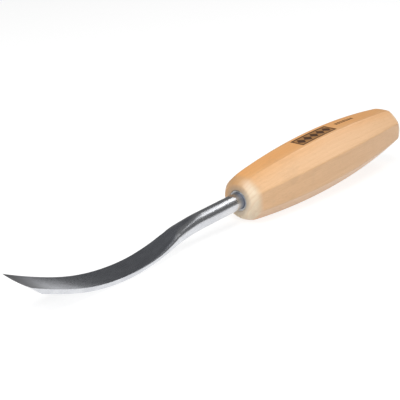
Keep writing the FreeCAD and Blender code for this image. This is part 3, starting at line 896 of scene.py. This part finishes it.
def steel_material():
    """Blade steel: bright and polished on the shank and the walls, darker and satin on
    the ground face, mirror-like on the honed bevel."""
    material, nodes, place = new_material("blade_steel")
    ground, honed = nodes.attribute("ground"), nodes.attribute("honed")
    whetted = nodes.math("MULTIPLY", nodes.attribute("whetted"), ground)
    streaks = nodes.noise(nodes.stretched(place, (0.05, 3.2, 3.2)), 1.0, 4.0, 0.62)
    clouds = nodes.noise(nodes.stretched(place, (0.16, 0.3, 0.3), (4, 1, 7)), 1.0, 3.0)
    scale_marks = nodes.noise(nodes.stretched(place, (0.5, 1.1, 1.1), (2, 6, 3)), 1.0, 4.0, 0.65)

    bright = nodes.mix(nodes.step(clouds, 0.35, 0.7), (0.595, 0.605, 0.635), (0.67, 0.68, 0.705))
    satin = nodes.mix(nodes.step(clouds, 0.35, 0.7), (0.37, 0.385, 0.425), (0.43, 0.445, 0.49))
    satin = nodes.mix(nodes.step(streaks, 0.4, 0.75, 0.0, 0.25), satin, (0.28, 0.29, 0.31))
    colour = nodes.mix(ground, bright, satin)
    # The hollow face's last stretch before the edge is painted nearly black: a painted dark
    # reflection.
    colour = nodes.mix(nodes.math("MULTIPLY", whetted, 0.95), colour, (0.12, 0.12, 0.13))
    colour = nodes.mix(honed, colour, (0.75, 0.75, 0.76))
    # The last of the shank, next to the ferrule, is painted blue-grey and made rougher: a painted
    # reflection.
    along = nodes.add("ShaderNodeSeparateXYZ", {"Vector": place}).outputs["X"]
    painted_ferrule_reflection = nodes.step(along, -4.5, -1.0)
    colour = nodes.mix(nodes.math("MULTIPLY", painted_ferrule_reflection, 0.85), colour, (0.28, 0.33, 0.43))
    pitted = nodes.step(scale_marks, 0.62, 0.78, 0.0, 0.3)
    colour = nodes.mix(pitted, colour, (0.30, 0.29, 0.28))

    rough = nodes.step(streaks, 0.3, 0.75, 0.23, 0.31)
    satin_rough = nodes.step(streaks, 0.3, 0.75, 0.25, 0.35)
    rough = nodes.math("ADD", rough, nodes.math("MULTIPLY", ground,
                                                nodes.math("SUBTRACT", satin_rough, rough)))
    rough = nodes.math("SUBTRACT", rough, nodes.math("MULTIPLY", honed, 0.07))
    rough = nodes.math("ADD", rough, nodes.math("MULTIPLY", whetted, 0.15))
    rough = nodes.math("ADD", rough, nodes.math("MULTIPLY", painted_ferrule_reflection, 0.2))
    rough = nodes.math("ADD", rough, nodes.math("MULTIPLY", pitted, 0.3), clamp=True)

    normal = nodes.bump(streaks, 0.006 * MM, nodes.step(ground, 0.0, 1.0, 0.3, 0.7))
    normal = nodes.bump(clouds, 0.09 * MM, 0.4, normal)
    nodes.finish({"Base Color": colour, "Roughness": rough, "Normal": normal,
                  "Metallic": 1.0})
    return material


def ferrule_material():
    """Dull drawn steel tube, filed flush with the nose: fine rings and some tarnish."""
    material, nodes, place = new_material("ferrule_steel")
    rings = nodes.noise(nodes.stretched(place, (9.0, 1.2, 1.2)), 1.0, 3.0)
    tarnish = nodes.noise(nodes.stretched(place, (0.7, 0.7, 0.7), (5, 2, 1)), 1.0, 4.0, 0.6)
    colour = nodes.mix(nodes.step(tarnish, 0.4, 0.7), (0.50, 0.50, 0.50), (0.38, 0.37, 0.36))
    rough = nodes.step(rings, 0.3, 0.7, 0.42, 0.54)
    nodes.finish({"Base Color": colour, "Roughness": rough, "Metallic": 1.0,
                  "Normal": nodes.bump(rings, 0.01 * MM, 0.6)})
    return material


def floor_material():
    """Pale matt studio board."""
    material = bpy.data.materials.new("studio_board")
    material.use_nodes = True
    nodes = Nodes(material.node_tree)
    place = nodes.add("ShaderNodeTexCoord").outputs["Object"]
    tooth = nodes.noise(nodes.stretched(place, (900.0,) * 3), 1.0, 3.0)
    # The board glows less towards matt surfaces, so undersides stay in shade.
    spread_light = nodes.add("ShaderNodeLightPath").outputs["Is Diffuse Ray"]
    glow = nodes.step(spread_light, 0.0, 1.0, 0.80, 0.31)
    nodes.finish({"Base Color": (0.30, 0.30, 0.30), "Roughness": 0.7,
                  "Emission Color": (1, 1, 1), "Emission Strength": glow,
                  "Normal": nodes.bump(tooth, 0.02 * MM, 0.3)})
    return material


# ---------------------------------------------------------------- studio

CAMERA_TARGET = Vector((-18.9, 6.2, 17.0)) * MM
CAMERA_DISTANCE = 421.6 * MM
CAMERA_AZIMUTH = 45.73     # the way the camera looks, from +X towards +Y
CAMERA_ELEVATION = 20.52   # how far it looks down
CAMERA_ROLL = -2.76
CAMERA_LENS = 78.95        # mm on a 36 mm sensor


def make_camera():
    """The camera, aimed and rolled by the angles above."""
    azimuth, elevation = math.radians(CAMERA_AZIMUTH), math.radians(CAMERA_ELEVATION)
    ahead = Vector((math.cos(azimuth) * math.cos(elevation),
                    math.sin(azimuth) * math.cos(elevation), -math.sin(elevation)))
    level = Vector((math.sin(azimuth), -math.cos(azimuth), 0))
    upright = level.cross(ahead)
    roll = math.radians(CAMERA_ROLL)
    right = level * math.cos(roll) + upright * math.sin(roll)
    upright = upright * math.cos(roll) - level * math.sin(roll)
    data = bpy.data.cameras.new("camera")
    data.lens = CAMERA_LENS
    data.sensor_width = 36.0
    data.clip_start = 0.01
    data.clip_end = 50.0
    camera = bpy.data.objects.new("camera", data)
    bpy.context.scene.collection.objects.link(camera)
    turn = Matrix((right, upright, -ahead)).transposed().to_4x4()
    camera.matrix_world = Matrix.Translation(CAMERA_TARGET - ahead * CAMERA_DISTANCE) @ turn
    bpy.context.scene.camera = camera


def make_softbox(name, place, size, power):
    """A rectangular area light aimed at the middle of the tool."""
    data = bpy.data.lights.new(name, "AREA")
    data.shape = "RECTANGLE"
    data.size, data.size_y = size
    data.energy = power
    light = bpy.data.objects.new(name, data)
    bpy.context.scene.collection.objects.link(light)
    light.location = place
    light.rotation_euler = (-Vector(place)).to_track_quat("-Z", "Y").to_euler()
    return light


def make_studio():
    """The pale floor, three softboxes and a dim room."""
    mesh = bpy.data.meshes.new("floor")
    reach = 6.0
    mesh.from_pydata([(-reach, -reach, 0), (reach, -reach, 0), (reach, reach, 0),
                      (-reach, reach, 0)], [], [(0, 1, 2, 3)])
    mesh.materials.append(floor_material())
    floor = bpy.data.objects.new("floor", mesh)
    bpy.context.scene.collection.objects.link(floor)
    make_softbox("main_softbox", (0.95, -0.12, 0.93), (0.86, 0.5), 3.5)
    make_softbox("fill_softbox", (-0.49, -1.03, 0.64), (0.5, 0.5), 4.1)
    make_softbox("top_softbox", (-0.60, -0.18, 1.10), (1.0, 1.0), 13.2)
    world = bpy.data.worlds.new("dim_studio")
    world.use_nodes = True
    nodes = Nodes(world.node_tree)
    # The room behind is as pale as the floor, but it lights the tool only dimly.
    seen = nodes.add("ShaderNodeLightPath").outputs["Is Camera Ray"]
    room = nodes.add("ShaderNodeBackground",
                     {"Color": (1, 1, 1), "Strength": nodes.step(seen, 0.0, 1.0, 0.15, 1.0)})
    output = nodes.add("ShaderNodeOutputWorld")
    world.node_tree.links.new(room.outputs["Background"], output.inputs["Surface"])
    bpy.context.scene.world = world
    bpy.context.scene.view_settings.view_transform = "Standard"


make_studio()
make_camera()
make_handle(wood_material())
make_ferrule(ferrule_material())
make_blade(steel_material())
